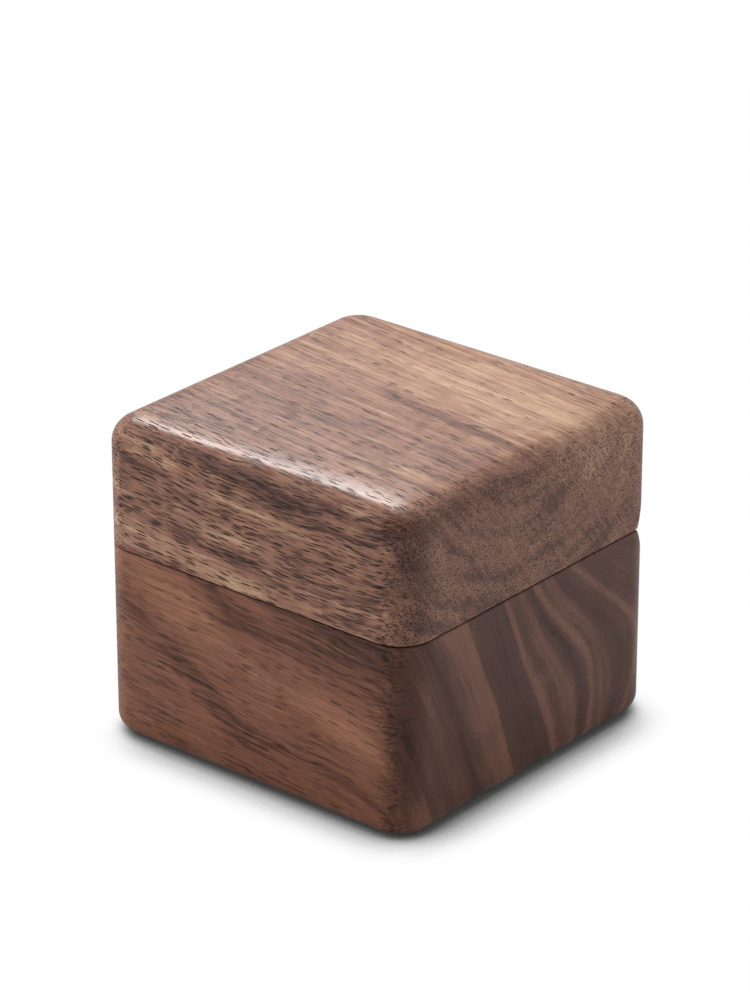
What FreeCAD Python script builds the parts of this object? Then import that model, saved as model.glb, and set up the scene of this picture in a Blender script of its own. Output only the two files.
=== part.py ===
import FreeCAD, Part
import math
import os

from FreeCAD import Vector

# A square walnut box for one piece of jewellery. A pocketed base and a pocketed lid meet flush at a
# thin seam. Two concealed barrel hinges in the rear wall carry the lid, and magnets in the front
# rims hold it shut. Inside are cloth-covered linings, a slotted cushion and a lid pad.
# Millimetres. +Z is up, the front faces -Y, and the origin is the middle of the underside.

# Outside of the box
BOX_WIDTH = 60.0
BOX_DEPTH = 60.0
BASE_HEIGHT = 31.4
LID_HEIGHT = 20.4
SEAM_GAP = 0.2
CORNER_RADIUS = 5.8
TOP_EDGE_RADIUS = 4.2
BOTTOM_EDGE_RADIUS = 3.0
RIM_EASE = 0.15

# Pockets milled into the two halves
SIDE_WALL = 6.0
FRONT_WALL = 6.5
REAR_WALL = 9.0
BASE_FLOOR = 5.0
LID_ROOF = 5.5
POCKET_CORNER_RADIUS = 4.0

# V-shaped relief along the rear of the seam, where the halves swing towards each other
RELIEF_DEPTH = 4.6
RELIEF_HEIGHT = 8.0

# Barrel hinges: a tongue on the base barrel turns between two cheeks on the lid barrel
HINGE_INSET = 15.0
PIVOT_OFFSET = 0.2
BARREL_DIAMETER = 5.0
BARREL_LENGTH = 10.0
BARREL_CHAMFER = 0.4
BORE_CLEARANCE = 0.05
BORE_END_SPACE = 0.3
KNUCKLE_RADIUS = 1.7
KNUCKLE_CLEARANCE = 0.2
TONGUE_WIDTH = 1.5
CHEEK_CLEARANCE = 0.1
PIN_DIAMETER = 1.4
PIN_PRESS_CLEARANCE = 0.01
PIN_RUNNING_CLEARANCE = 0.05

# Disc magnets let into the front rims
MAGNET_DIAMETER = 4.0
MAGNET_THICKNESS = 2.0
MAGNET_CHAMFER = 0.2
MAGNET_INSET = 10.0
MAGNET_RECESS = 0.1
MAGNET_CLEARANCE = 0.05

# Cloth-covered card linings round the pocket walls
LINING_THICKNESS = 1.2
LINING_CLEARANCE = 0.1
LINING_DROP = 1.0

# Slotted cushion on its card and foam, in the base
BOARD_THICKNESS = 1.5
FOAM_THICKNESS = 4.5
CUSHION_CLEARANCE = 0.2
CUSHION_DROP = 4.9
SLOT_WIDTH = 1.6
ROLL_CROWN = 0.9
ROLL_LIP_RADIUS = 4.0
ROLL_EDGE_RADIUS = 1.6

# Pad on its card, in the lid
LID_BOARD_THICKNESS = 1.2
LID_PAD_THICKNESS = 3.0
LID_PAD_EDGE_EASE = 1.4

# How far a cutting tool runs past what it cuts, and how closely an edge's place is matched
OVERRUN = 1.0
EDGE_MATCH = 0.001

# Places and sizes that several pieces share
half_width = BOX_WIDTH / 2
half_depth = BOX_DEPTH / 2
base_rim = BASE_HEIGHT
lid_rim = BASE_HEIGHT + SEAM_GAP
seam_middle = BASE_HEIGHT + SEAM_GAP / 2
box_top = lid_rim + LID_HEIGHT
roof_underside = box_top - LID_ROOF
relief_apex = half_depth - RELIEF_DEPTH
pivot_y = relief_apex + PIVOT_OFFSET
hinge_x = half_width - HINGE_INSET
magnet_x = half_width - MAGNET_INSET
magnet_y = FRONT_WALL / 2 - half_depth
barrel_radius = BARREL_DIAMETER / 2
pin_radius = PIN_DIAMETER / 2
magnet_radius = MAGNET_DIAMETER / 2
swing_radius = KNUCKLE_RADIUS + KNUCKLE_CLEARANCE
tongue_half_width = TONGUE_WIDTH / 2
# The knuckles turn inside the bores, so their far corners stay within the barrel's radius.
knuckle_half_span = math.sqrt(barrel_radius ** 2 - KNUCKLE_RADIUS ** 2)
lining_outer_inset = LINING_CLEARANCE
lining_inner_inset = LINING_CLEARANCE + LINING_THICKNESS
cushion_inset = lining_inner_inset + CUSHION_CLEARANCE
board_top = BASE_FLOOR + BOARD_THICKNESS
foam_top = board_top + FOAM_THICKNESS
cushion_top = base_rim - CUSHION_DROP
slot_y_middle = (FRONT_WALL - REAR_WALL) / 2

LEFT = -1
RIGHT = 1
ALONG_X = Vector(1, 0, 0)
UP = Vector(0, 0, 1)
DOWN = Vector(0, 0, -1)


def upright_edges(shape):
    """The edges of a block that stand upright."""
    return [edge for edge in shape.Edges if edge.BoundBox.ZLength > EDGE_MATCH]


def edges_at_height(shape, z):
    """The edges of a shape that lie flat at one height."""
    flat = [edge for edge in shape.Edges if edge.BoundBox.ZLength < EDGE_MATCH]
    return [edge for edge in flat if abs(edge.BoundBox.ZMin - z) < EDGE_MATCH]


def edges_on_wall(shape, y):
    """The edges of a shape that lie in one upright plane across the box."""
    across = [edge for edge in shape.Edges if edge.BoundBox.YLength < EDGE_MATCH]
    return [edge for edge in across if abs(edge.BoundBox.YMin - y) < EDGE_MATCH]


def rounded_block(x0, y0, x1, y1, radius, z0, z1):
    """An upright block with a rectangular plan and rounded upright corners."""
    block = Part.makeBox(x1 - x0, y1 - y0, z1 - z0, Vector(x0, y0, z0))
    return block.makeFillet(radius, upright_edges(block))


def outside_block(z0, z1):
    """The full plan of the box between two heights."""
    return rounded_block(-half_width, -half_depth, half_width, half_depth, CORNER_RADIUS, z0, z1)


def pocket_block(inset, z0, z1):
    """The plan of the milled pocket, drawn in on every side, between two heights."""
    x0 = SIDE_WALL + inset - half_width
    y0 = FRONT_WALL + inset - half_depth
    y1 = half_depth - REAR_WALL - inset
    return rounded_block(x0, y0, -x0, y1, POCKET_CORNER_RADIUS - inset, z0, z1)


def relief_tool():
    """The V-shaped groove across the back, with its narrow side at the seam."""
    reach = RELIEF_DEPTH + OVERRUN
    spread = RELIEF_HEIGHT * reach / RELIEF_DEPTH
    side = -half_width - OVERRUN
    corners = [
        Vector(side, relief_apex, base_rim),
        Vector(side, relief_apex + reach, base_rim - spread),
        Vector(side, relief_apex + reach, lid_rim + spread),
        Vector(side, relief_apex, lid_rim),
    ]
    face = Part.Face(Part.makePolygon(corners + corners[:1]))
    return face.extrude(ALONG_X * (BOX_WIDTH + 2 * OVERRUN))


def finished_half(block, pocket, rim, inward):
    """A half of the box: pocket, eased rim, rear relief, hinge bores and magnet seats."""
    half = block.cut(pocket)
    half = half.makeChamfer(RIM_EASE, edges_at_height(half, rim))
    half = half.cut(relief_tool())
    bore_radius = barrel_radius + BORE_CLEARANCE
    bore_depth = BARREL_LENGTH + BORE_END_SPACE
    seat_radius = magnet_radius + MAGNET_CLEARANCE
    seat_depth = MAGNET_RECESS + MAGNET_THICKNESS
    for side in (LEFT, RIGHT):
        bore_mouth = Vector(side * hinge_x, pivot_y, rim)
        seat_mouth = Vector(side * magnet_x, magnet_y, rim)
        half = half.cut(Part.makeCylinder(bore_radius, bore_depth, bore_mouth, inward))
        half = half.cut(Part.makeCylinder(seat_radius, seat_depth, seat_mouth, inward))
    return half


def base_body():
    """The lower walnut block."""
    block = outside_block(0, base_rim)
    block = block.makeFillet(BOTTOM_EDGE_RADIUS, edges_at_height(block, 0))
    return finished_half(block, pocket_block(0, BASE_FLOOR, base_rim), base_rim, DOWN)


def lid_body():
    """The upper walnut block, with its large soft top edge."""
    block = outside_block(lid_rim, box_top)
    block = block.makeFillet(TOP_EDGE_RADIUS, edges_at_height(block, box_top))
    return finished_half(block, pocket_block(0, lid_rim, roof_underside), lid_rim, UP)


def barrel_stem(side, rim, inward):
    """The buried brass cylinder of a hinge half, trimmed level with the wood round it."""
    mouth = Vector(side * hinge_x, pivot_y, rim)
    stem = Part.makeCylinder(barrel_radius, BARREL_LENGTH, mouth, inward)
    buried_end = rim + inward.z * BARREL_LENGTH
    stem = stem.makeChamfer(BARREL_CHAMFER, edges_at_height(stem, buried_end))
    swing = Part.makeCylinder(
        swing_radius, BARREL_DIAMETER, Vector(side * hinge_x - barrel_radius, pivot_y, seam_middle), ALONG_X
    )
    return stem.cut(swing).cut(relief_tool())


def knuckle(side, start, width, pin_hole_radius, inward):
    """One upright plate of a hinge half: an eye round the pin and a neck into the stem."""
    x = side * hinge_x + start
    eye = Part.makeCylinder(KNUCKLE_RADIUS, width, Vector(x, pivot_y, seam_middle), ALONG_X)
    neck_reach = 2 * KNUCKLE_RADIUS
    neck_foot = min(seam_middle, seam_middle + inward.z * neck_reach)
    neck = Part.makeBox(
        width, 2 * KNUCKLE_RADIUS, neck_reach, Vector(x, pivot_y - KNUCKLE_RADIUS, neck_foot)
    )
    hole = Part.makeCylinder(
        pin_hole_radius, width + 2 * OVERRUN, Vector(x - OVERRUN, pivot_y, seam_middle), ALONG_X
    )
    return eye.fuse(neck.cut(relief_tool())).cut(hole)


def hinge_base_barrel(side):
    """The hinge half in the base, with one tongue that grips the pin."""
    tongue = knuckle(
        side, -tongue_half_width, TONGUE_WIDTH, pin_radius + PIN_PRESS_CLEARANCE, DOWN
    )
    return barrel_stem(side, base_rim, DOWN).fuse(tongue).removeSplitter()


def hinge_lid_barrel(side):
    """The hinge half in the lid, with a cheek on each side of the tongue."""
    cheek_start = tongue_half_width + CHEEK_CLEARANCE
    cheek_width = knuckle_half_span - cheek_start
    half = barrel_stem(side, lid_rim, UP)
    for start in (-knuckle_half_span, cheek_start):
        half = half.fuse(knuckle(side, start, cheek_width, pin_radius + PIN_RUNNING_CLEARANCE, UP))
    return half.removeSplitter()


def hinge_pin(side):
    """The cross pin, flush with the outer faces of the cheeks."""
    start = Vector(side * hinge_x - knuckle_half_span, pivot_y, seam_middle)
    return Part.makeCylinder(pin_radius, 2 * knuckle_half_span, start, ALONG_X)


def magnet(side, rim, inward):
    """A disc magnet, a little below the rim that it sits in."""
    face = Vector(side * magnet_x, magnet_y, rim) + inward * MAGNET_RECESS
    disc = Part.makeCylinder(magnet_radius, MAGNET_THICKNESS, face, inward)
    return disc.makeChamfer(MAGNET_CHAMFER, edges_at_height(disc, face.z))


def lining(z0, z1):
    """A closed band of covered card against the pocket walls."""
    return pocket_block(lining_outer_inset, z0, z1).cut(pocket_block(lining_inner_inset, z0, z1))


def base_lining():
    """The lining of the base, from its floor nearly to its rim."""
    return lining(BASE_FLOOR, base_rim - LINING_DROP)


def lid_lining():
    """The lining of the lid, from its roof nearly to its rim."""
    return lining(lid_rim + LINING_DROP, roof_underside)


def base_board():
    """The card on the floor of the base."""
    return pocket_block(cushion_inset, BASE_FLOOR, board_top)


def base_foam():
    """The foam layer under the cushion rolls, which is the bottom of the slot."""
    return pocket_block(cushion_inset, board_top, foam_top)


def crowned_profile(wall_y, slot_y, x):
    """The section of a cushion roll before its edges are softened: upright sides and a crowned top."""
    shoulder = cushion_top - ROLL_CROWN
    wall_foot = Vector(x, wall_y, foam_top)
    wall_top = Vector(x, wall_y, shoulder)
    crown = Vector(x, (wall_y + slot_y) / 2, cushion_top)
    slot_top = Vector(x, slot_y, shoulder)
    slot_foot = Vector(x, slot_y, foam_top)
    outline = [
        Part.makeLine(slot_foot, wall_foot),
        Part.makeLine(wall_foot, wall_top),
        Part.Arc(wall_top, crown, slot_top).toShape(),
        Part.makeLine(slot_top, slot_foot),
    ]
    return Part.Face(Part.Wire(outline))


def slot_roll(wall_y, slot_y):
    """A covered foam roll along one side of the slot, full at its lip and softened all round."""
    end_x = half_width - SIDE_WALL - cushion_inset
    roll = crowned_profile(wall_y, slot_y, -end_x).extrude(ALONG_X * (2 * end_x))
    wall_corners = [edge for edge in edges_on_wall(roll, wall_y) if edge.BoundBox.XLength < EDGE_MATCH]
    roll = roll.makeFillet(POCKET_CORNER_RADIUS - cushion_inset, wall_corners)
    lip = [edge for edge in edges_on_wall(roll, slot_y) if edge.BoundBox.ZMin > foam_top + EDGE_MATCH]
    roll = roll.makeFillet(ROLL_LIP_RADIUS, [edge for edge in lip if edge.BoundBox.XLength > end_x])
    lip_foot = cushion_top - ROLL_CROWN - ROLL_LIP_RADIUS
    upper = [edge for edge in roll.Edges if edge.BoundBox.ZMin > lip_foot]
    wall_edges = [edge for edge in edges_on_wall(roll, wall_y) if edge.BoundBox.ZMin > lip_foot]
    end_edges = [edge for edge in upper if edge.BoundBox.XLength < end_x]
    return roll.makeFillet(ROLL_EDGE_RADIUS, wall_edges + end_edges)


def slot_roll_front():
    """The roll between the front wall and the slot."""
    return slot_roll(FRONT_WALL + cushion_inset - half_depth, slot_y_middle - SLOT_WIDTH / 2)


def slot_roll_rear():
    """The roll between the slot and the rear wall."""
    return slot_roll(half_depth - REAR_WALL - cushion_inset, slot_y_middle + SLOT_WIDTH / 2)


def lid_board():
    """The card against the roof of the lid."""
    return pocket_block(cushion_inset, roof_underside - LID_BOARD_THICKNESS, roof_underside)


def lid_pad():
    """The covered pad under the lid's card, with a soft lower edge."""
    pad_top = roof_underside - LID_BOARD_THICKNESS
    pad_underside = pad_top - LID_PAD_THICKNESS
    pad = pocket_block(cushion_inset, pad_underside, pad_top)
    return pad.makeChamfer(LID_PAD_EDGE_EASE, edges_at_height(pad, pad_underside))


def all_parts():
    """Every piece of the box under its own name."""
    parts = {
        "base_body": base_body(),
        "lid_body": lid_body(),
        "base_lining": base_lining(),
        "base_board": base_board(),
        "base_foam": base_foam(),
        "slot_roll_front": slot_roll_front(),
        "slot_roll_rear": slot_roll_rear(),
        "lid_lining": lid_lining(),
        "lid_board": lid_board(),
        "lid_pad": lid_pad(),
    }
    for word, side in (("left", LEFT), ("right", RIGHT)):
        parts[f"hinge_{word}_base_barrel"] = hinge_base_barrel(side)
        parts[f"hinge_{word}_lid_barrel"] = hinge_lid_barrel(side)
        parts[f"hinge_{word}_pin"] = hinge_pin(side)
        parts[f"base_magnet_{word}"] = magnet(side, base_rim, DOWN)
        parts[f"lid_magnet_{word}"] = magnet(side, lid_rim, UP)
    return parts


if __name__ == "__main__":
    os.makedirs("parts", exist_ok=True)
    for name, shape in all_parts().items():
        shape.exportStep(f"parts/{name}.step")
        print(name, len(shape.Solids), "solid", shape.isValid(), round(shape.Volume, 2))
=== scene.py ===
"""Looks of a square walnut jewelry box with a hinged lid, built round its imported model.

Blender units are metres. Patterns and soft forms are worked out in millimetres.
"""

import math
from typing import NamedTuple

import bmesh
import bpy
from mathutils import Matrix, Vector


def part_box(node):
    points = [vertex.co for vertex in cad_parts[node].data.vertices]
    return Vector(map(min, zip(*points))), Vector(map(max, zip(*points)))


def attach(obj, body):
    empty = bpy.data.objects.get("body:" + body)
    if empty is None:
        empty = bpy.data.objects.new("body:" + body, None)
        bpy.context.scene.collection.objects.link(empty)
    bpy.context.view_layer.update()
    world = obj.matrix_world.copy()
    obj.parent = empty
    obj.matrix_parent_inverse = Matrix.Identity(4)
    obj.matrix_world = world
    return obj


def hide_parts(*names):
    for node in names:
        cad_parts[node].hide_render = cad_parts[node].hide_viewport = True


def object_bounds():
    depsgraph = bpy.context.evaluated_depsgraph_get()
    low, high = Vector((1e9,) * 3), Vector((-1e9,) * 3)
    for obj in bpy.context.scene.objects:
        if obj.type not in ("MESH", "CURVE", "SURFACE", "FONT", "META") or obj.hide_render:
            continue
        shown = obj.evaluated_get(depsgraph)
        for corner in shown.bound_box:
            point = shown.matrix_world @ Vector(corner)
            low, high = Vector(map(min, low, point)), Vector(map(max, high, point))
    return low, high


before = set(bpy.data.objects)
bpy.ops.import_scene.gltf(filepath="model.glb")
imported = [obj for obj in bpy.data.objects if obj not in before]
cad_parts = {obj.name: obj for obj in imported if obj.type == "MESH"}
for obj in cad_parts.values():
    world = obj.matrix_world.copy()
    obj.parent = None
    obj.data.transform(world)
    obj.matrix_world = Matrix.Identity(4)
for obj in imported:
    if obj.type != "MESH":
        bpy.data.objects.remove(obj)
cad_low, cad_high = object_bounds()
cad_centre = (cad_low + cad_high) / 2

MM = 0.001
MM_PER_M = 1000.0

# Camera, fitted to the photograph
IMAGE_WIDTH_PX = 750
IMAGE_HEIGHT_PX = 1000
FOCAL_PX = 4406.9
CAMERA_AZIMUTH = math.radians(39.844)
CAMERA_ELEVATION = math.radians(24.473)
CAMERA_DISTANCE = 0.670
CENTRE_X_PX = 378.52
CENTRE_Y_PX = 563.65
SENSOR_WIDTH_MM = 36.0


class Lamp(NamedTuple):
    """A soft box or card: the way to it, its distance and size, its watts, and whether gloss shows it."""

    direction: tuple
    distance: float
    width: float
    height: float
    power: float
    mirrored: bool


LAMPS = {
    "back_left_box": Lamp(
        direction=(-0.585, 0.455, 0.67), distance=0.9, width=0.32, height=0.32, power=3.2, mirrored=True
    ),
    "overhead_box": Lamp(
        direction=(-0.2, 0.2, 0.96), distance=1.0, width=0.5, height=0.5, power=3.4, mirrored=True
    ),
    "left_card": Lamp(
        direction=(-0.85, -0.50, 0.25), distance=0.8, width=1.2, height=0.7, power=5.4, mirrored=False
    ),
    "right_card": Lamp(
        direction=(0.62, 0.75, 0.25), distance=0.8, width=1.0, height=0.5, power=1.0, mirrored=False
    ),
}

# Room and paper: each list of shades has shares and their greys; the paper's greys are painted shadow
DARK_SIDE = (0.64, -0.77, 0.0)
WORLD_SHADES = [(0.0, 0.45), (0.35, 0.90), (0.5, 0.85), (0.65, 0.35), (1.0, 0.06)]
PAPER_GREY = 0.75
PAPER_MIDDLE_RADIUS = 0.05
PAPER_FLAT_RADIUS = 5.0
PAPER_OUTER_RADIUS = 6.5
PAPER_RISE = 1.8
PAPER_SIDES = 64
PAPER_BEND_STEPS = 12
# Painted shadow on the paper: how far it reaches, its lean towards the front and right, and its greys,
# near the box and wider in gloss
CONTACT_REACH = 0.010
PAINTED_SHADOW_LEAN = (-0.48, 0.30, 0.82)
PAINTED_CONTACT_SHADOW_GREYS = [(0.2, 0.05), (0.42, 0.28), (0.54, 0.57), (0.66, 0.85), (0.81, 1.0)]
TOUCH_REACH = 0.004
PAINTED_TOUCH_SHADOW_GREYS = [(0.4, 0.62), (0.75, 1.0)]
NEAR_FLOOR_REACH = 0.080
PAINTED_FLOOR_SHADE_GREYS = [(0.3, 0.08), (1.0, 0.55)]
OCCLUSION_RAYS = 8

# Places of the mix node's colour sockets, whose names repeat
MIX_SHARE_INPUT = 0
MIX_FIRST_INPUT = 6
MIX_SECOND_INPUT = 7
MIX_COLOUR_OUTPUT = 2

NOISE_MIDDLE = 0.5


class Waves(NamedTuple):
    """Soft noise: its wavelengths along three axes, how far it swings, and how fine it is."""

    x_mm: float
    y_mm: float
    z_mm: float
    strength: float = 1.0
    detail: float = 2.0
    roughness: float = 0.5


def opaque(colour):
    """A colour, or a grey written as one number, with full alpha."""
    if isinstance(colour, float):
        return (colour, colour, colour, 1.0)
    return (*colour, 1.0)


def fill_ramp(made, stops):
    """Gives a colour ramp node its stops."""
    elements = made.color_ramp.elements
    while len(elements) < len(stops):
        elements.new(1.0)
    for element, (position, colour) in zip(elements, stops):
        element.position = position
        element.color = opaque(colour)


class Signal:
    """A value that varies over a surface. Its arithmetic adds the shader nodes that work it out."""

    def __init__(self, graph, socket):
        self.graph = graph
        self.socket = socket

    def __add__(self, other):
        return self.graph.math("ADD", self, other)

    def __radd__(self, other):
        return self.graph.math("ADD", other, self)

    def __sub__(self, other):
        return self.graph.math("SUBTRACT", self, other)

    def __rsub__(self, other):
        return self.graph.math("SUBTRACT", other, self)

    def __mul__(self, other):
        return self.graph.math("MULTIPLY", self, other)

    def __truediv__(self, other):
        return self.graph.math("DIVIDE", self, other)


class Graph:
    """One material, with short forms for adding its nodes."""

    def __init__(self, name):
        self.material = bpy.data.materials.new(name)
        self.material.use_nodes = True
        self.nodes = self.material.node_tree.nodes
        self.links = self.material.node_tree.links
        self.shader = self.nodes["Principled BSDF"]

    def node(self, kind, inputs, **settings):
        """A new node with its settings, and its inputs linked or set."""
        made = self.nodes.new(kind)
        for name, value in settings.items():
            setattr(made, name, value)
        for name, value in inputs.items():
            self.feed(made.inputs[name], value)
        return made

    def feed(self, socket, value):
        """Links a signal to an input, or sets a plain value on it."""
        if isinstance(value, Signal):
            self.links.new(value.socket, socket)
        else:
            socket.default_value = value

    def out(self, made, name=0):
        """One output of a node as a signal."""
        return Signal(self, made.outputs[name])

    def math(self, operation, *values):
        """One step of arithmetic."""
        return self.out(self.node("ShaderNodeMath", dict(enumerate(values)), operation=operation))

    def place(self):
        """The object's own coordinates in millimetres."""
        coordinates = self.node("ShaderNodeTexCoord", {})
        parts = self.node("ShaderNodeSeparateXYZ", {0: self.out(coordinates, "Object")})
        return [self.out(parts, axis) * MM_PER_M for axis in "XYZ"]

    def facing_x(self):
        """How far the surface faces along the object's X, either way, from 0 to 1."""
        coordinates = self.node("ShaderNodeTexCoord", {})
        parts = self.node("ShaderNodeSeparateXYZ", {0: self.out(coordinates, "Normal")})
        return self.math("ABSOLUTE", self.out(parts, "X"))

    def vector(self, x, y, z):
        """Three values as one vector."""
        return self.out(self.node("ShaderNodeCombineXYZ", {0: x, 1: y, 2: z}))

    def noise(self, waves, x, y, z):
        """Soft noise between 0 and 1."""
        inputs = {
            "Vector": self.vector(x / waves.x_mm, y / waves.y_mm, z / waves.z_mm),
            "Scale": 1.0,
            "Detail": waves.detail,
            "Roughness": waves.roughness,
        }
        return self.out(self.node("ShaderNodeTexNoise", inputs), "Fac")

    def swing(self, waves, x, y, z):
        """Soft noise that swings about zero."""
        swung = self.noise(waves, x, y, z) - NOISE_MIDDLE
        return swung if waves.strength == 1.0 else swung * waves.strength

    def cells(self, spacing_mm, x, y, z):
        """Scattered points: the distance to the nearest one, and two random shares that it carries."""
        across, aside, up = spacing_mm
        place = self.vector(x / across, y / aside, z / up)
        made = self.node("ShaderNodeTexVoronoi", {"Vector": place, "Scale": 1.0})
        parts = self.node("ShaderNodeSeparateColor", {0: self.out(made, "Color")})
        return self.out(made, "Distance"), self.out(parts, "Red"), self.out(parts, "Green")

    def rise(self, value, low, high):
        """0 at low, 1 at high, and smooth between them."""
        inputs = {"Value": value, "From Min": low, "From Max": high}
        return self.out(self.node("ShaderNodeMapRange", inputs, interpolation_type="SMOOTHSTEP"))

    def patch(self, place, centre, reach):
        """1 at a centre, and smoothly down to 0 at its reach along each axis."""
        offset = self.node("ShaderNodeVectorMath", {0: place, 1: centre}, operation="SUBTRACT")
        scaled = self.node("ShaderNodeVectorMath", {0: self.out(offset), 1: reach}, operation="DIVIDE")
        length = self.node("ShaderNodeVectorMath", {0: self.out(scaled)}, operation="LENGTH")
        return self.rise(self.out(length, "Value"), 1.0, 0.0)

    def ramp(self, share, stops):
        """A colour that follows a share through its stops."""
        made = self.node("ShaderNodeValToRGB", {0: share})
        made.color_ramp.interpolation = "EASE"
        fill_ramp(made, stops)
        return self.out(made)

    def mix(self, share, first, second):
        """Two colours mixed."""
        inputs = {MIX_SHARE_INPUT: share}
        for place, colour in ((MIX_FIRST_INPUT, first), (MIX_SECOND_INPUT, second)):
            inputs[place] = colour if isinstance(colour, Signal) else opaque(colour)
        return self.out(self.node("ShaderNodeMix", inputs, data_type="RGBA"), MIX_COLOUR_OUTPUT)

    def openness(self, reach, **inputs):
        """How open the space round a point is within a reach in metres, from 0 to 1."""
        inputs["Distance"] = reach
        return self.out(self.node("ShaderNodeAmbientOcclusion", inputs, samples=OCCLUSION_RAYS), "AO")

    def bump(self, height, distance, strength):
        """A surface normal that follows a height."""
        inputs = {"Height": height, "Distance": distance, "Strength": strength}
        return self.out(self.node("ShaderNodeBump", inputs))

    def surface(self, **inputs):
        """Feeds the shader's inputs, named with underscores for spaces."""
        for name, value in inputs.items():
            self.feed(self.shader.inputs[name.replace("_", " ")], value)
        return self.material


# Growth layers of the base's board: places across the layers in millimetres, and their tone
BASE_LAYERS = [
    (-46.0, 0.60),
    (-31.0, 0.57),
    (-29.6, 0.52),
    (-28.8, 0.40),
    (-28.0, 0.54),
    (-25.5, 0.68),
    (-23.2, 0.58),
    (-22.2, 0.40),
    (-20.6, 0.48),
    (-18.6, 0.38),
    (-16.6, 0.46),
    (-14.2, 0.40),
    (-12.0, 0.22),
    (-10.2, 0.44),
    (-6.5, 0.56),
    (-3.7, 0.62),
    (-2.7, 0.32),
    (2.0, 0.25),
    (4.7, 0.30),
    (5.6, 0.60),
    (7.2, 0.40),
    (9.9, 0.50),
    (11.4, 0.22),
    (12.9, 0.62),
    (13.8, 0.46),
    (15.2, 0.50),
    (17.3, 0.24),
    (19.2, 0.38),
    (20.3, 0.54),
    (21.8, 0.36),
    (46.0, 0.40),
]
LAYER_SPAN_MM = 46.0

# Lighter and darker clouds in the two boards: centre and reach in millimetres along the grain, and tone;
# the entries marked below are painted shade
BASE_CLOUDS_AND_CORNER_SHADE = [
    ((20.0, -30.0, 27.0), (13.0, 9.0, 5.0), -0.22),
    ((18.0, -30.0, 12.0), (12.0, 9.0, 5.0), 0.20),
    ((-17.0, -30.0, 12.0), (15.0, 9.0, 9.0), 0.12),
    # Painted shade: darker all the way up the base's front right corner
    ((29.0, -29.0, 14.0), (5.0, 5.0, 20.0), -0.34),
]
LID_CLOUDS_AND_EDGE_SHADE = [
    ((-26.0, -30.0, 33.8), (15.0, 12.0, 3.6), 0.27),
    ((-4.0, -30.0, 33.0), (20.0, 12.0, 3.0), 0.32),
    ((-20.0, -30.0, 47.4), (12.0, 6.0, 2.2), 0.30),
    ((2.0, -30.0, 45.6), (20.0, 8.0, 1.3), 0.28),
    ((-26.0, -30.0, 39.4), (9.0, 8.0, 1.7), 0.24),
    ((-4.0, -30.0, 39.4), (11.0, 8.0, 1.7), 0.26),
    ((-20.0, -30.0, 43.0), (11.0, 8.0, 3.0), -0.16),
    ((8.0, -30.0, 48.6), (22.0, 8.0, 3.4), -0.18),
    ((-6.0, -30.0, 36.6), (17.0, 9.0, 2.0), -0.15),
    ((18.0, -30.0, 40.6), (13.0, 10.0, 5.0), -0.12),
    ((30.0, -24.0, 46.0), (9.0, 5.5, 13.0), -0.26),
    ((30.0, 20.0, 46.0), (20.0, 14.0, 10.0), 0.20),
    ((-12.0, -23.0, 52.0), (34.0, 10.0, 9.0), -0.10),
    ((10.0, 18.0, 52.0), (60.0, 24.0, 9.0), 0.30),
    ((12.0, 4.4, 52.0), (30.0, 1.8, 6.0), -0.26),
    # Painted shade: darker along the lid's right top edge
    ((29.0, 0.0, 50.6), (4.0, 40.0, 2.6), -0.11),
    # Painted shade: darker along the lid's front top edge
    ((0.0, -30.0, 49.8), (44.0, 4.0, 2.4), -0.14),
]

# Colours of the two boards from their darkest tone to their lightest
BASE_COLOURS = [
    (0.0, (0.030, 0.010, 0.007)),
    (0.3, (0.100, 0.037, 0.023)),
    (0.6, (0.215, 0.086, 0.050)),
    (0.85, (0.325, 0.140, 0.082)),
    (1.0, (0.420, 0.195, 0.115)),
]
LID_COLOURS = [
    (0.0, (0.042, 0.018, 0.013)),
    (0.3, (0.140, 0.060, 0.041)),
    (0.55, (0.270, 0.124, 0.080)),
    (0.8, (0.390, 0.218, 0.135)),
    (1.0, (0.530, 0.330, 0.210)),
]
PORE_COLOUR = (0.022, 0.010, 0.008)

# Shared by the two boards
HALF_WIDTH_MM = 30.0
FIBRE_WANDER = Waves(6.0, 5.0, 4.0, strength=0.8)

# The base's growth layers: their climb to the left along the front
BASE_CLIMB_SHARE = 0.13
BASE_CORNER_RUN_MM = 15.0
BASE_CORNER_CLIMB_MM = 2.7
BASE_TURN_X_MM = -2.0
BASE_TURN_BLEND_MM = 6.0
BASE_LEFT_CLIMB_SHARE = 0.45
BASE_SWEEP = Waves(28.0, 20.0, 14.0, strength=1.6)

# Their lean across the ends, and how they fan out towards the back
BASE_LEAN_SHARE = 0.36
BASE_LEAN_PER_MM = 0.0013
BASE_BACK_BLEND_MM = 4.0
BASE_UP_BLEND_MM = 8.0
BASE_FAN_PER_MM = 0.052
BASE_FAN_EASED_PER_MM2 = 0.0015
BASE_WOBBLE = Waves(9.0, 9.0, 12.0, strength=1.8, detail=4.0)

# The base's fine lines, fibres and dark streaks
BASE_LINES = Waves(45.0, 0.7, 9.0, strength=0.42, detail=4.0, roughness=0.65)
BASE_MOTTLE = Waves(9.0, 12.0, 8.0, strength=0.26)
BASE_FIBRE_FALL_SHARE = 0.09
BASE_FIBRE_SWEEP = Waves(14.0, 14.0, 9.0, strength=1.6)
BASE_STREAKS = Waves(8.0, 0.8, 0.42)
BASE_STREAK_NOISE = (0.52, 0.70)
BASE_STREAK_TONES = (0.72, 0.35)
BASE_STREAK_DEPTH = 0.40
BASE_END_X_MM = (27.0, 30.0)
BASE_END_DARKER = 0.05
BASE_PORES = 0.66
BASE_PORES_LESS_BY_TONE = 0.55
BASE_PORES_LESS_AT_ENDS = 0.62

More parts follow.
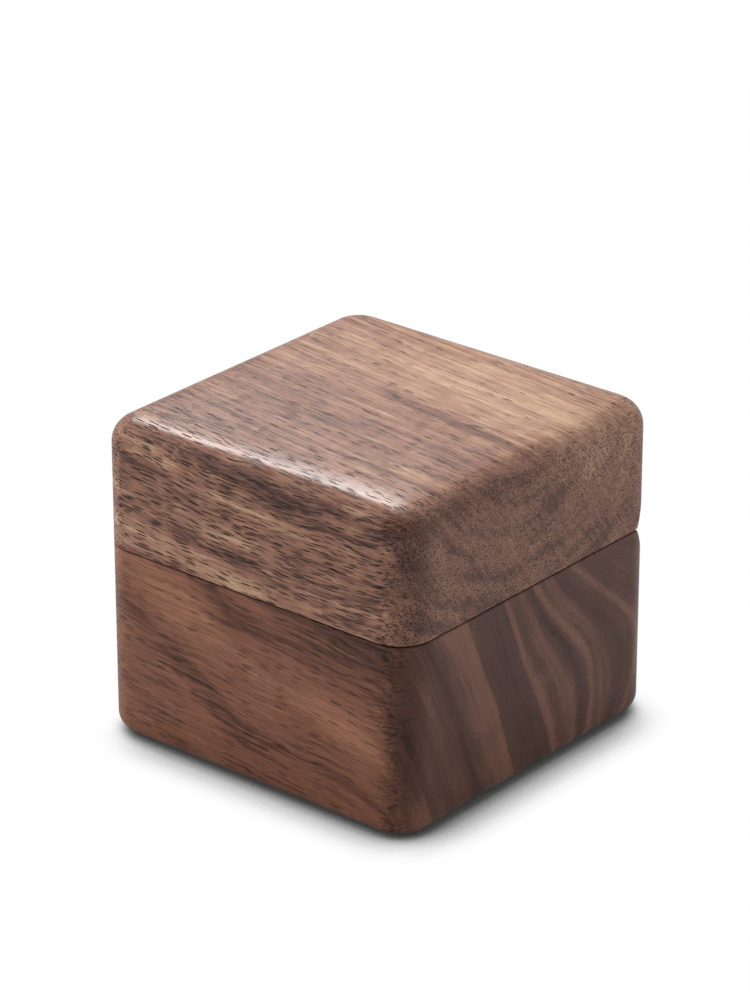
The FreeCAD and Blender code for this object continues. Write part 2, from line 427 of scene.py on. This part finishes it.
# The lid's fibres: their sweep along the front, and how straight they lie on top
LID_TOP_Z_MM = (50.6, 52.0)
LID_FALL_SHARE = 0.04
LID_BEND_PER_MM = 0.0016
LID_SWEEP = Waves(24.0, 18.0, 14.0, strength=1.6)
LID_TOP_STRAIGHT_SHARE = 0.8
LID_TURN_SHARE = 0.12
LID_TILT_COS = 0.8
LID_TILT_SIN = 0.6

# The lid's mottle, its arcs round the pith at the ends, its fine lines and its cross ripple
LID_TONE = 0.535
LID_END_X_MM = (26.0, 30.0)
LID_END_CALM_SHARE = 0.7
LID_TOP_CALM_SHARE = 0.5
LID_MOTTLE = Waves(6.0, 6.0, 1.8, strength=0.65, detail=3.0)
LID_MOTTLE_SHIFT_MM = 28.2
PITH_Y_MM = -2.0
PITH_Z_MM = 57.0
PITH_STRETCH = 1.3
LID_ARCS = Waves(30.0, 2.8, 16.0, detail=3.0)
LID_ARCS_SHIFT_MM = 7.28
LID_ARCS_STRENGTH = 0.54
LID_ARCS_GROWTH_MM = 180.0
LID_LINES = Waves(30.0, 0.9, 9.0, strength=0.5, detail=4.0, roughness=0.65)
LID_RIPPLE = Waves(2.6, 3.0, 9.0, strength=0.30)

# The lid's wandering clouds, dark streaks and pores; on top, pores cleared back from the front edge are
# painted sheen
LID_DRIFT = Waves(11.0, 11.0, 5.0, strength=5.0)
LID_DRIFT_SHIFT_MM = 100.1
LID_DRIFT_ASIDE_SHARE = 0.3
LID_DRIFT_UP_SHARE = 0.25
LID_STREAKS = Waves(7.0, 0.8, 0.36)
LID_STREAK_NOISE = (0.52, 0.68)
LID_STREAK_TONES = (0.75, 0.4)
LID_STREAK_DEPTH = 0.24
LID_SHEEN_CLEAR_Y_MM = (-29.0, -16.0)
LID_SHEEN_CLEAR_DEPTH = 0.66
LID_END_DARKER = 0.07
LID_PORES = 1.50
LID_PORES_LESS_BY_TONE = 0.9
LID_PORES_LESS_AT_ENDS = 0.30

# Fibres, pores and finish of both boards
END_GRAIN_FACING = (0.3, 0.95)
END_FIBRE_CALM_SHARE = 0.8
MUTED_FACING = (0.7, 0.98)
FIBRES = Waves(11.0, 0.36, 0.36, detail=3.0, roughness=0.75)
PORE_SPACING_MM = (3.4, 0.29, 0.29)
PORE_BUNCHES = Waves(8.0, 1.4, 1.4, strength=1.4)
PORE_CHANCE = (0.95, 1.08)
PORE_SIZE_SHARE = 0.28
PORE_SPREAD_SHARE = 0.18
PORE_END_GROWTH_SHARE = 0.04
PORE_CORE_SHARE = 0.75
WOOD_ROUGHNESS = 0.27
PORE_ROUGHNESS = 0.4
FIBRE_ROUGHNESS = 0.15
WOOD_BUMP_SHARE = 0.6
FIBRE_HEIGHT_MM = 0.012
PORE_DEPTH_MM = 0.04
FLAT_HALF_WIDTH_MM = 21.5
EDGE_BLEND_MM = 8.0
EDGE_LEAST_SHARE = 0.4
EDGE_GROWTH_X_MM = (-18.0, 18.0)


def layer_share(across):
    """A place across the growth layers as a share of their span."""
    return (across + LAYER_SPAN_MM) / (2 * LAYER_SPAN_MM)


def clouded_and_shaded(graph, tone, place, clouds_and_shade):
    """A board's tone with its lighter and darker patches, some of which are painted shade along edges and
    a corner.
    """
    for centre, reach, shift in clouds_and_shade:
        tone = tone + graph.patch(place, centre, reach) * shift
    return tone


def base_figure(graph, x, y, z):
    """The base's board: its tone, two distances across its fibres, and how crowded its pores are."""
    from_right = HALF_WIDTH_MM - x
    left_of_turn = graph.math("SMOOTH_MAX", BASE_TURN_X_MM - x, 0.0, BASE_TURN_BLEND_MM)
    corner_climb = graph.rise(from_right, 0.0, BASE_CORNER_RUN_MM) * BASE_CORNER_CLIMB_MM
    swept = z - from_right * BASE_CLIMB_SHARE - corner_climb - left_of_turn * BASE_LEFT_CLIMB_SHARE
    swept = swept + graph.swing(BASE_SWEEP, x, y, z)
    behind = graph.math("SMOOTH_MAX", y, 0.0, BASE_BACK_BLEND_MM)
    above = graph.math("SMOOTH_MAX", swept, 0.0, BASE_UP_BLEND_MM)
    lean = swept * (BASE_LEAN_SHARE + swept * BASE_LEAN_PER_MM)
    fan = behind * above * (above * BASE_FAN_EASED_PER_MM2 - BASE_FAN_PER_MM)
    across = y + lean + fan + graph.swing(BASE_WOBBLE, x, y, swept)
    tone = graph.ramp(layer_share(across), [(layer_share(mm), tone) for mm, tone in BASE_LAYERS])
    tone = tone + graph.swing(BASE_LINES, x, across, swept) + graph.swing(BASE_MOTTLE, x, y, swept)
    tone = clouded_and_shaded(graph, tone, graph.vector(x, y, swept), BASE_CLOUDS_AND_CORNER_SHADE)
    fibre = z + x * BASE_FIBRE_FALL_SHARE + graph.swing(BASE_FIBRE_SWEEP, x, y, z)
    fibre = fibre + graph.swing(FIBRE_WANDER, x, y, z)
    at_end = graph.rise(graph.math("ABSOLUTE", x), *BASE_END_X_MM)
    streaks = graph.rise(graph.noise(BASE_STREAKS, x, y, fibre), *BASE_STREAK_NOISE)
    streaks = streaks * graph.rise(tone, *BASE_STREAK_TONES) * (1.0 - at_end)
    tone = tone - streaks * BASE_STREAK_DEPTH
    crowding = BASE_PORES - tone * BASE_PORES_LESS_BY_TONE - at_end * BASE_PORES_LESS_AT_ENDS
    return tone - at_end * BASE_END_DARKER, y, fibre, crowding


def lid_figure(graph, x, y, z):
    """The lid's board: its tone, two distances across its fibres, and how crowded its pores are."""
    on_top = graph.rise(z, *LID_TOP_Z_MM)
    at_end = graph.rise(graph.math("ABSOLUTE", x), *LID_END_X_MM)
    sweep = x * (LID_FALL_SHARE - x * LID_BEND_PER_MM) + graph.swing(LID_SWEEP, x, y, z)
    wander = graph.swing(FIBRE_WANDER, x, y, z)
    swept = z + (sweep + wander) * (1.0 - on_top * LID_TOP_STRAIGHT_SHARE)
    turned = y + x * LID_TURN_SHARE
    across = turned * LID_TILT_COS + swept * LID_TILT_SIN
    along = swept * LID_TILT_COS - turned * LID_TILT_SIN
    calm = (1.0 - at_end * LID_END_CALM_SHARE) * (1.0 - on_top * LID_TOP_CALM_SHARE)
    mottle = graph.swing(LID_MOTTLE, x, y + LID_MOTTLE_SHIFT_MM, swept) * calm
    beside_pith = y - PITH_Y_MM
    below_pith = (PITH_Z_MM - swept) * PITH_STRETCH
    from_pith = graph.math("SQRT", beside_pith * beside_pith + below_pith * below_pith)
    arcs = graph.swing(LID_ARCS, x, from_pith + LID_ARCS_SHIFT_MM, y) * at_end
    arcs = arcs * (LID_ARCS_STRENGTH + x / LID_ARCS_GROWTH_MM)
    lines = graph.swing(LID_LINES, x, across, along) * (1.0 + on_top)
    tone = LID_TONE + mottle + arcs + lines + graph.swing(LID_RIPPLE, x, y, swept)
    drift = graph.swing(LID_DRIFT, x, y + LID_DRIFT_SHIFT_MM, z)
    drifted_aside = turned + drift * LID_DRIFT_ASIDE_SHARE
    drifted_up = swept + drift * LID_DRIFT_UP_SHARE
    tone = clouded_and_shaded(graph, tone, graph.vector(x + drift, drifted_aside, drifted_up), LID_CLOUDS_AND_EDGE_SHADE)
    streaks = graph.rise(graph.noise(LID_STREAKS, x, y, swept), *LID_STREAK_NOISE)
    streaks = streaks * graph.rise(tone, *LID_STREAK_TONES) * (1.0 - at_end * LID_END_CALM_SHARE)
    tone = tone - streaks * LID_STREAK_DEPTH
    aside = y + (x * LID_TURN_SHARE + wander) * on_top
    # Painted sheen: the top's pores, their dark colour and their dents, are cleared back from the front
    # edge
    clear = on_top * graph.rise(y, *LID_SHEEN_CLEAR_Y_MM) * LID_SHEEN_CLEAR_DEPTH
    crowding = LID_PORES - tone * LID_PORES_LESS_BY_TONE - clear - at_end * LID_PORES_LESS_AT_ENDS
    return tone - at_end * LID_END_DARKER, aside, swept, crowding


def edge_fall(graph, x, y):
    """How a board falls away past its flat middle, more to the right, for edges worn soft."""
    from_middle = graph.math(
        "SMOOTH_MAX", graph.math("ABSOLUTE", x), graph.math("ABSOLUTE", y), EDGE_BLEND_MM
    )
    past_flat = graph.math("MAXIMUM", from_middle - FLAT_HALF_WIDTH_MM, 0.0)
    return past_flat * past_flat * (EDGE_LEAST_SHARE + graph.rise(x, *EDGE_GROWTH_X_MM))


def walnut(name, figure, colours, contrast, pore_share, gloss, end_muting_share, edge_softness=0.0):
    """Oiled walnut with its grain along X: layers, fibres, and pores that are dashes or end-grain dots."""
    graph = Graph(name)
    x, y, z = graph.place()
    facing_x = graph.facing_x()
    end_grain = graph.rise(facing_x, *END_GRAIN_FACING)
    along_grain = 1.0 - end_grain * END_FIBRE_CALM_SHARE
    tone, aside, fibre, crowding = figure(graph, x, y, z)
    fibres = graph.swing(FIBRES, x, aside, fibre)
    colour = graph.ramp(tone + fibres * along_grain * contrast, colours)
    saturation = 1.0 - graph.rise(facing_x, *MUTED_FACING) * end_muting_share
    muted = graph.node("ShaderNodeHueSaturation", {"Color": colour, "Saturation": saturation})
    distance, chance, grade = graph.cells(PORE_SPACING_MM, x, aside, fibre)
    bunches = graph.swing(PORE_BUNCHES, x, aside, fibre)
    present = graph.rise(chance + crowding + bunches, *PORE_CHANCE)
    size = PORE_SIZE_SHARE + grade * PORE_SPREAD_SHARE + end_grain * PORE_END_GROWTH_SHARE
    pores = graph.rise(distance, size, size * PORE_CORE_SHARE) * present
    height = fibres * along_grain * FIBRE_HEIGHT_MM - pores * along_grain * PORE_DEPTH_MM
    if edge_softness:
        height = height - edge_fall(graph, x, y) * edge_softness
    return graph.surface(
        Base_Color=graph.mix(pores * pore_share, graph.out(muted), PORE_COLOUR),
        Roughness=WOOD_ROUGHNESS + pores * PORE_ROUGHNESS + fibres * FIBRE_ROUGHNESS,
        Specular_IOR_Level=gloss,
        Normal=graph.bump(height, MM, WOOD_BUMP_SHARE),
    )


# Cloth, card, foam and metal inside
MIDDLE_SHARE = 0.5
NAP = Waves(7.0, 5.0, 5.0, strength=0.7, detail=3.0, roughness=0.6)
CLOTH_FIBRES = Waves(0.22, 0.22, 0.22, roughness=0.7)
CLOTH_FIBRE_CONTRAST = 0.9
CLOTH_FIBRE_ROUGHNESS = 0.1
CLOTH_FIBRE_MM = 0.06
PULP = Waves(1.6, 1.6, 1.6, detail=4.0, roughness=0.7)
PULP_CONTRAST = 0.9
PULP_ROUGHNESS = 0.1
PULP_MM = 0.05
SPECK_SPACING_MM = (0.5, 0.2, 0.2)
SPECK_CHANCE = (0.9, 1.0)
SPECK_DEPTH = 0.4
CARD_COLOURS = [(0.0, (0.14, 0.12, 0.10)), (1.0, (0.46, 0.40, 0.32))]
FOAM_SPACING_MM = (0.45, 0.45, 0.45)
FOAM_WALL_REACH = (0.15, 0.6)
FOAM_WALL_CONTRAST = 0.7
FOAM_CELL_CONTRAST = 0.3
FOAM_CELL_ROUGHNESS = 0.08
FOAM_WALL_MM = 0.1
FOAM_COLOURS = [(0.0, (0.36, 0.34, 0.30)), (1.0, (0.78, 0.75, 0.68))]
X_AXIS = 0
Z_AXIS = 2
LATHE_PITCH_MM = 0.06
LATHE_RUN_MM = 1.5
LATHE_NOISE_ROUGHNESS = 0.6
LATHE_ROUGHNESS = 0.2
LATHE_MARK_MM = 0.004
TARNISH = Waves(1.8, 1.8, 1.8, detail=4.0, roughness=0.65)
TARNISH_NOISE = (0.4, 0.75)
TARNISH_ROUGHNESS = 0.12


def suede(name, shaded, brushed):
    """Microfibre cloth: brushed patches of nap, fine fibres and a soft sheen."""
    graph = Graph(name)
    x, y, z = graph.place()
    nap = graph.swing(NAP, x, y, z)
    fibres = graph.swing(CLOTH_FIBRES, x, y, z)
    share = MIDDLE_SHARE + nap + fibres * CLOTH_FIBRE_CONTRAST
    return graph.surface(
        Base_Color=graph.ramp(share, [(0.0, shaded), (1.0, brushed)]),
        Roughness=0.92 + fibres * CLOTH_FIBRE_ROUGHNESS,
        Specular_IOR_Level=0.2,
        Sheen_Weight=0.35,
        Sheen_Roughness=0.45,
        Normal=graph.bump(fibres, CLOTH_FIBRE_MM * MM, strength=0.6),
    )


def card(name):
    """Grey board, speckled with fibres."""
    graph = Graph(name)
    x, y, z = graph.place()
    pulp = graph.swing(PULP, x, y, z)
    _, chance, _ = graph.cells(SPECK_SPACING_MM, x, y, z)
    specks = graph.rise(chance, *SPECK_CHANCE)
    share = MIDDLE_SHARE + pulp * PULP_CONTRAST - specks * SPECK_DEPTH
    return graph.surface(
        Base_Color=graph.ramp(share, CARD_COLOURS),
        Roughness=0.88 + pulp * PULP_ROUGHNESS,
        Normal=graph.bump(pulp, PULP_MM * MM, strength=0.5),
    )


def foam(name):
    """Pale foam with open cells."""
    graph = Graph(name)
    x, y, z = graph.place()
    distance, chance, _ = graph.cells(FOAM_SPACING_MM, x, y, z)
    walls = graph.rise(distance, *FOAM_WALL_REACH)
    share = walls * FOAM_WALL_CONTRAST + chance * FOAM_CELL_CONTRAST
    return graph.surface(
        Base_Color=graph.ramp(share, FOAM_COLOURS),
        Roughness=0.9 + chance * FOAM_CELL_ROUGHNESS,
        Normal=graph.bump(walls, FOAM_WALL_MM * MM, strength=0.8),
    )


def turned_metal(name, axis, bright, dull, roughness):
    """Metal with the fine marks of a lathe round one axis, and a little tarnish."""
    graph = Graph(name)
    place = graph.place()
    lengths = [LATHE_PITCH_MM if at == axis else LATHE_RUN_MM for at in range(len(place))]
    marks = graph.swing(Waves(*lengths, roughness=LATHE_NOISE_ROUGHNESS), *place)
    tarnish = graph.noise(TARNISH, *place)
    return graph.surface(
        Base_Color=graph.mix(graph.rise(tarnish, *TARNISH_NOISE), bright, dull),
        Metallic=1.0,
        Roughness=roughness + marks * LATHE_ROUGHNESS + tarnish * TARNISH_ROUGHNESS,
        Normal=graph.bump(marks, LATHE_MARK_MM * MM, strength=0.6),
    )


def finish_node(node, material):
    """Puts a material on a CAD node."""
    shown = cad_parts[node]
    shown.data.materials.clear()
    shown.data.materials.append(material)


# Soft pieces, in millimetres
LINING_MM = 1.2
LINING_CORNER_MM = 3.9
CUSHION_CORNER_MM = 2.5
ROLL_CROWN_MM = 0.9
ROLL_LIP_MM = 4.0
ROLL_EDGE_MM = 1.6
ROLL_END_DROP_MM = 0.5
ROLL_END_POWER = 3
PAD_EDGE_MM = 1.4
PAD_CROWN_MM = 0.5
FOAM_EDGE_MM = 0.7
FOAM_CROWN_MM = 0.0
LEAST_CORNER_MM = 0.3
CORNER_STEPS = 8
SIDE_STEPS = 16
ROUND_STEPS = 8
CROWN_STEPS = 12


def box_mm(node):
    """A CAD node's lowest and highest corners in millimetres."""
    low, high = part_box(node)
    return low * MM_PER_M, high * MM_PER_M


def quarter_turn(steps):
    """The sine and cosine at each step of a quarter turn."""
    angles = [math.pi / 2 * step / steps for step in range(steps + 1)]
    return [(math.sin(angle), math.cos(angle)) for angle in angles]


def side_points(first, second):
    """Evenly spaced points between two others, without them."""
    return [first.lerp(second, step / SIDE_STEPS) for step in range(1, SIDE_STEPS)]


def rounded_loop(low, high, radius, inset, z):
    """Points at one height round a rectangle with rounded corners, drawn in on every side."""
    radius = max(radius - inset, LEAST_CORNER_MM)
    right = high.x - inset - radius
    left = low.x + inset + radius
    back = high.y - inset - radius
    front = low.y + inset + radius
    centres = [(right, back), (left, back), (left, front), (right, front)]
    points = []
    for quarter, (x, y) in enumerate(centres):
        arc = []
        for step in range(CORNER_STEPS + 1):
            angle = math.pi / 2 * (quarter + step / CORNER_STEPS)
            arc.append(Vector((x + radius * math.cos(angle), y + radius * math.sin(angle), z)))
        if points:
            points += side_points(points[-1], arc[0])
        points += arc
    return points + side_points(points[-1], points[0])


def add_mesh(name, form):
    """A new object in the scene with a form as its mesh."""
    mesh = bpy.data.meshes.new(name)
    form.to_mesh(mesh)
    form.free()
    added = bpy.data.objects.new(name, mesh)
    bpy.context.scene.collection.objects.link(added)
    return added


def skin(name, rows, closed=False):
    """A mesh object through rows of points in millimetres, with filled ends or closed into a band."""
    form = bmesh.new()
    made = [[form.verts.new(point * MM) for point in row] for row in rows]
    pairs = list(zip(made, made[1:]))
    if closed:
        pairs.append((made[-1], made[0]))
    else:
        form.faces.new(made[0])
        form.faces.new(made[-1])
    for first, second in pairs:
        for at in range(len(first)):
            following = (at + 1) % len(first)
            form.faces.new((first[at], first[following], second[following], second[at]))
    bmesh.ops.recalc_face_normals(form, faces=form.faces)
    for face in form.faces:
        face.smooth = True
    return add_mesh(name, form)


def dress(piece, material, body, node):
    """Gives a soft piece its finish and its body, in place of its CAD solid."""
    piece.data.materials.append(material)
    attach(piece, body)
    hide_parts(node)
    return piece


def lining(name, node, foot_z, lip_z):
    """A cloth-covered band round a pocket, with the cloth folded over its open edge in a soft lip."""
    low, high = box_mm(node)
    lip = LINING_MM / 2
    lip_centre = lip_z - math.copysign(lip, lip_z - foot_z)
    lip_height = lip_z - lip_centre
    halfway_z = (foot_z + lip_centre) / 2
    turn = quarter_turn(ROUND_STEPS)
    section = [(0.0, foot_z), (0.0, halfway_z)]
    section += [(lip - lip * cos, lip_centre + lip_height * sin) for sin, cos in turn]
    section += [(lip + lip * sin, lip_centre + lip_height * cos) for sin, cos in turn[1:]]
    section += [(LINING_MM, halfway_z), (LINING_MM, foot_z)]
    rows = [rounded_loop(low, high, LINING_CORNER_MM, inset, z) for inset, z in section]
    return skin(name, rows, closed=True)


def pad(name, node, edge, crown, flat_z, crown_z):
    """A pad that lies flat on one side, with soft edges and a crowned other side."""
    low, high = box_mm(node)
    way = math.copysign(1.0, crown_z - flat_z)
    shoulder = crown_z - way * crown
    section = [(0.0, flat_z)]
    for sin, cos in quarter_turn(ROUND_STEPS):
        section.append((edge - edge * cos, shoulder - way * edge * (1.0 - sin)))
    reach = min(high.x - low.x, high.y - low.y) / 2 - LEAST_CORNER_MM
    for step in range(1, CROWN_STEPS + 1):
        share = step / CROWN_STEPS
        rise = crown * (1.0 - (1.0 - share) ** 2)
        section.append((edge + (reach - edge) * share, shoulder + way * rise))
    return skin(name, [rounded_loop(low, high, CUSHION_CORNER_MM, inset, z) for inset, z in section])


def roll_section(width, height):
    """The outline of a cushion roll from its wall foot over its crown to its slot foot, across and up."""
    def crown(across):
        return height - ROLL_CROWN_MM * (2.0 * across / width - 1.0) ** 2

    outline = [(0.0, 0.0), (0.0, height / 2)]
    for sin, cos in quarter_turn(ROUND_STEPS):
        across = ROLL_EDGE_MM * (1.0 - cos)
        outline.append((across, crown(across) - ROLL_EDGE_MM * (1.0 - sin)))
    for step in range(1, CROWN_STEPS):
        across = ROLL_EDGE_MM + (width - ROLL_EDGE_MM - ROLL_LIP_MM) * step / CROWN_STEPS
        outline.append((across, crown(across)))
    for sin, cos in quarter_turn(ROUND_STEPS):
        across = width - ROLL_LIP_MM * (1.0 - sin)
        outline.append((across, crown(across) - ROLL_LIP_MM * (1.0 - cos)))
    return outline + [(width, height / 3), (width, 0.0)]


def roll_stations(length):
    """Distances along a cushion roll, and how far its section is drawn in at each for its rounded ends."""
    ends = []
    for sin, cos in quarter_turn(ROUND_STEPS):
        ends.append((CUSHION_CORNER_MM * (1.0 - cos), CUSHION_CORNER_MM * (1.0 - sin)))
    between = length - 2 * CUSHION_CORNER_MM
    middle = [(CUSHION_CORNER_MM + between * step / SIDE_STEPS, 0.0) for step in range(1, SIDE_STEPS)]
    return ends + middle + [(length - run, inset) for run, inset in reversed(ends)]


def slot_roll(name, node, wall_y, slot_y):
    """A foam roll under tight cloth, full along its slot and rounded off at its two ends."""
    low, high = box_mm(node)
    length = high.x - low.x
    width = abs(slot_y - wall_y)
    height = high.z - low.z
    way = math.copysign(1.0, slot_y - wall_y)
    outline = roll_section(width, height)
    rows = []
    for run, inset in roll_stations(length):
        from_middle = abs(2.0 * run / length - 1.0)
        rise = (height - inset - ROLL_END_DROP_MM * from_middle ** ROLL_END_POWER) / height
        row = []
        for across, up in outline:
            y = wall_y + way * (inset + across * (width - 2.0 * inset) / width)
            row.append(Vector((low.x + run, y, low.z + up * rise)))
        rows.append(row)
    return skin(name, rows)


def add_soft_pieces():
    """Every cloth, foam and padded piece, modelled in the place of its CAD solid."""
    lining_cloth = suede("lining_cloth", shaded=(0.42, 0.33, 0.24), brushed=(0.66, 0.54, 0.42))
    cushion_cloth = suede("cushion_cloth", shaded=(0.48, 0.38, 0.28), brushed=(0.72, 0.60, 0.47))
    low, high = box_mm("base_lining")
    band = lining("base_lining_cloth", "base_lining", low.z, high.z)
    dress(band, lining_cloth, "base", "base_lining")
    low, high = box_mm("lid_lining")
    band = lining("lid_lining_cloth", "lid_lining", high.z, low.z)
    dress(band, lining_cloth, "lid", "lid_lining")
    low, high = box_mm("base_foam")
    layer = pad("base_foam_layer", "base_foam", FOAM_EDGE_MM, FOAM_CROWN_MM, low.z, high.z)
    dress(layer, foam("foam"), "base", "base_foam")
    low, high = box_mm("lid_pad")
    lid_pad = pad("lid_pad_cloth", "lid_pad", PAD_EDGE_MM, PAD_CROWN_MM, high.z, low.z)
    dress(lid_pad, cushion_cloth, "lid", "lid_pad")
    low, high = box_mm("slot_roll_front")
    roll = slot_roll("slot_roll_front_cloth", "slot_roll_front", low.y, high.y)
    dress(roll, cushion_cloth, "base", "slot_roll_front")
    low, high = box_mm("slot_roll_rear")
    roll = slot_roll("slot_roll_rear_cloth", "slot_roll_rear", high.y, low.y)
    dress(roll, cushion_cloth, "base", "slot_roll_rear")


def finish_boards():
    """The walnut of the base and the lid."""
    base_wood = walnut(
        "walnut_base",
        base_figure,
        BASE_COLOURS,
        contrast=0.9,
        pore_share=0.7,
        gloss=0.3,
        end_muting_share=0.09,
    )
    lid_wood = walnut(
        "walnut_lid",
        lid_figure,
        LID_COLOURS,
        contrast=1.25,
        pore_share=1.0,
        gloss=0.4,
        end_muting_share=0.02,
        edge_softness=0.018,
    )
    finish_node("base_body", base_wood)
    finish_node("lid_body", lid_wood)


def finish_fittings():
    """The card, brass, steel and nickel of the CAD pieces inside."""
    board = card("card")
    for node in ("base_board", "lid_board"):
        finish_node(node, board)
    brass = turned_metal(
        "brass", Z_AXIS, bright=(0.72, 0.50, 0.20), dull=(0.44, 0.28, 0.11), roughness=0.24
    )
    steel = turned_metal(
        "pin_steel", X_AXIS, bright=(0.62, 0.62, 0.62), dull=(0.42, 0.42, 0.43), roughness=0.22
    )
    nickel = turned_metal(
        "magnet_nickel", Z_AXIS, bright=(0.70, 0.69, 0.66), dull=(0.52, 0.51, 0.49), roughness=0.16
    )
    for side in ("left", "right"):
        finish_node(f"hinge_{side}_base_barrel", brass)
        finish_node(f"hinge_{side}_lid_barrel", brass)
        finish_node(f"hinge_{side}_pin", steel)
        finish_node(f"base_magnet_{side}", nickel)
        finish_node(f"lid_magnet_{side}", nickel)


def aim_at_box(placed, back):
    """Turns a camera or a lamp to look against the way that leads back to it."""
    placed.rotation_mode = "QUATERNION"
    placed.rotation_quaternion = (-back).to_track_quat("-Z", "Y")
    bpy.context.scene.collection.objects.link(placed)


def add_camera():
    """The camera at the photograph's place."""
    cos_elevation = math.cos(CAMERA_ELEVATION)
    back = Vector(
        (
            math.sin(CAMERA_AZIMUTH) * cos_elevation,
            -math.cos(CAMERA_AZIMUTH) * cos_elevation,
            math.sin(CAMERA_ELEVATION),
        )
    )
    right = Vector((math.cos(CAMERA_AZIMUTH), math.sin(CAMERA_AZIMUTH), 0.0))
    up = back.cross(right)
    metres_per_px = CAMERA_DISTANCE / FOCAL_PX
    data = bpy.data.cameras.new("camera")
    data.sensor_width = SENSOR_WIDTH_MM
    data.lens = SENSOR_WIDTH_MM * FOCAL_PX / IMAGE_HEIGHT_PX
    camera = bpy.data.objects.new("camera", data)
    camera.location = (
        cad_centre
        + back * CAMERA_DISTANCE
        - right * (CENTRE_X_PX - IMAGE_WIDTH_PX / 2) * metres_per_px
        + up * (CENTRE_Y_PX - IMAGE_HEIGHT_PX / 2) * metres_per_px
    )
    aim_at_box(camera, back)
    bpy.context.scene.camera = camera


def add_lamp(name, lamp):
    """A soft box or card that faces the object."""
    data = bpy.data.lights.new(name, "AREA")
    data.shape = "RECTANGLE"
    data.size = lamp.width
    data.size_y = lamp.height
    data.energy = lamp.power
    light = bpy.data.objects.new(name, data)
    light.visible_glossy = lamp.mirrored
    back = Vector(lamp.direction).normalized()
    light.location = cad_centre + back * lamp.distance
    aim_at_box(light, back)


def paper_material():
    """White paper that is seen as plain white, with a painted shadow where the object stands."""
    graph = Graph("paper")
    rays = graph.node("ShaderNodeLightPath", {})
    glossy = graph.out(rays, "Is Glossy Ray")
    seen = graph.math("MAXIMUM", graph.out(rays, "Is Camera Ray"), glossy)
    seen = graph.math("MAXIMUM", seen, graph.out(rays, "Is Transmission Ray"))
    # Painted shadow: the camera sees the paper darkened where the space round it is closed in, and gloss
    # sees a wider painted shade
    leaned = graph.openness(CONTACT_REACH, Normal=graph.vector(*PAINTED_SHADOW_LEAN))
    painted_contact_shadow = graph.ramp(leaned, PAINTED_CONTACT_SHADOW_GREYS) * graph.ramp(graph.openness(TOUCH_REACH), PAINTED_TOUCH_SHADOW_GREYS)
    shaded = graph.ramp(graph.openness(NEAR_FLOOR_REACH), PAINTED_FLOOR_SHADE_GREYS)
    shown = graph.node("ShaderNodeEmission", {"Color": graph.mix(glossy, painted_contact_shadow, shaded)})
    lit = graph.node("ShaderNodeBsdfDiffuse", {"Color": opaque(PAPER_GREY)})
    blend = graph.node("ShaderNodeMixShader", {0: seen, 1: graph.out(lit), 2: graph.out(shown)})
    graph.links.new(blend.outputs[0], graph.nodes["Material Output"].inputs["Surface"])
    return graph.material


def add_floor():
    """The paper that the box stands on, bent up far from it on every side."""
    profile = [(PAPER_MIDDLE_RADIUS, 0.0), (PAPER_FLAT_RADIUS, 0.0)]
    for step in range(1, PAPER_BEND_STEPS + 1):
        turn = math.pi / 2 * step / PAPER_BEND_STEPS
        radius = PAPER_FLAT_RADIUS + (PAPER_OUTER_RADIUS - PAPER_FLAT_RADIUS) * math.sin(turn)
        profile.append((radius, PAPER_RISE * (1.0 - math.cos(turn))))
    angles = [2 * math.pi * side / PAPER_SIDES for side in range(PAPER_SIDES)]
    form = bmesh.new()
    rows = []
    for radius, height in profile:
        rows.append([form.verts.new((radius * math.cos(a), radius * math.sin(a), height)) for a in angles])
    form.faces.new(rows[0])
    for inner, outer in zip(rows, rows[1:]):
        for side in range(PAPER_SIDES):
            following = (side + 1) % PAPER_SIDES
            form.faces.new((inner[side], outer[side], outer[following], inner[following]))
    floor = add_mesh("paper", form)
    floor.data.materials.append(paper_material())


def add_world():
    """A white room round the table that is darker behind the camera."""
    world = bpy.data.worlds.new("studio")
    world.use_nodes = True
    nodes = world.node_tree.nodes
    links = world.node_tree.links
    direction = nodes.new("ShaderNodeTexCoord")
    towards = nodes.new("ShaderNodeVectorMath")
    towards.operation = "DOT_PRODUCT"
    towards.inputs[1].default_value = DARK_SIDE
    spread = nodes.new("ShaderNodeMapRange")
    spread.inputs["From Min"].default_value = -1.0
    shades = nodes.new("ShaderNodeValToRGB")
    fill_ramp(shades, WORLD_SHADES)
    links.new(direction.outputs["Generated"], towards.inputs[0])
    links.new(towards.outputs["Value"], spread.inputs["Value"])
    links.new(spread.outputs["Result"], shades.inputs[0])
    links.new(shades.outputs[0], nodes["Background"].inputs["Color"])
    bpy.context.scene.world = world


add_camera()
add_world()
add_floor()
for lamp_name, chosen_lamp in LAMPS.items():
    add_lamp(lamp_name, chosen_lamp)

bpy.context.scene.view_settings.view_transform = "Standard"

finish_boards()
finish_fittings()
add_soft_pieces()
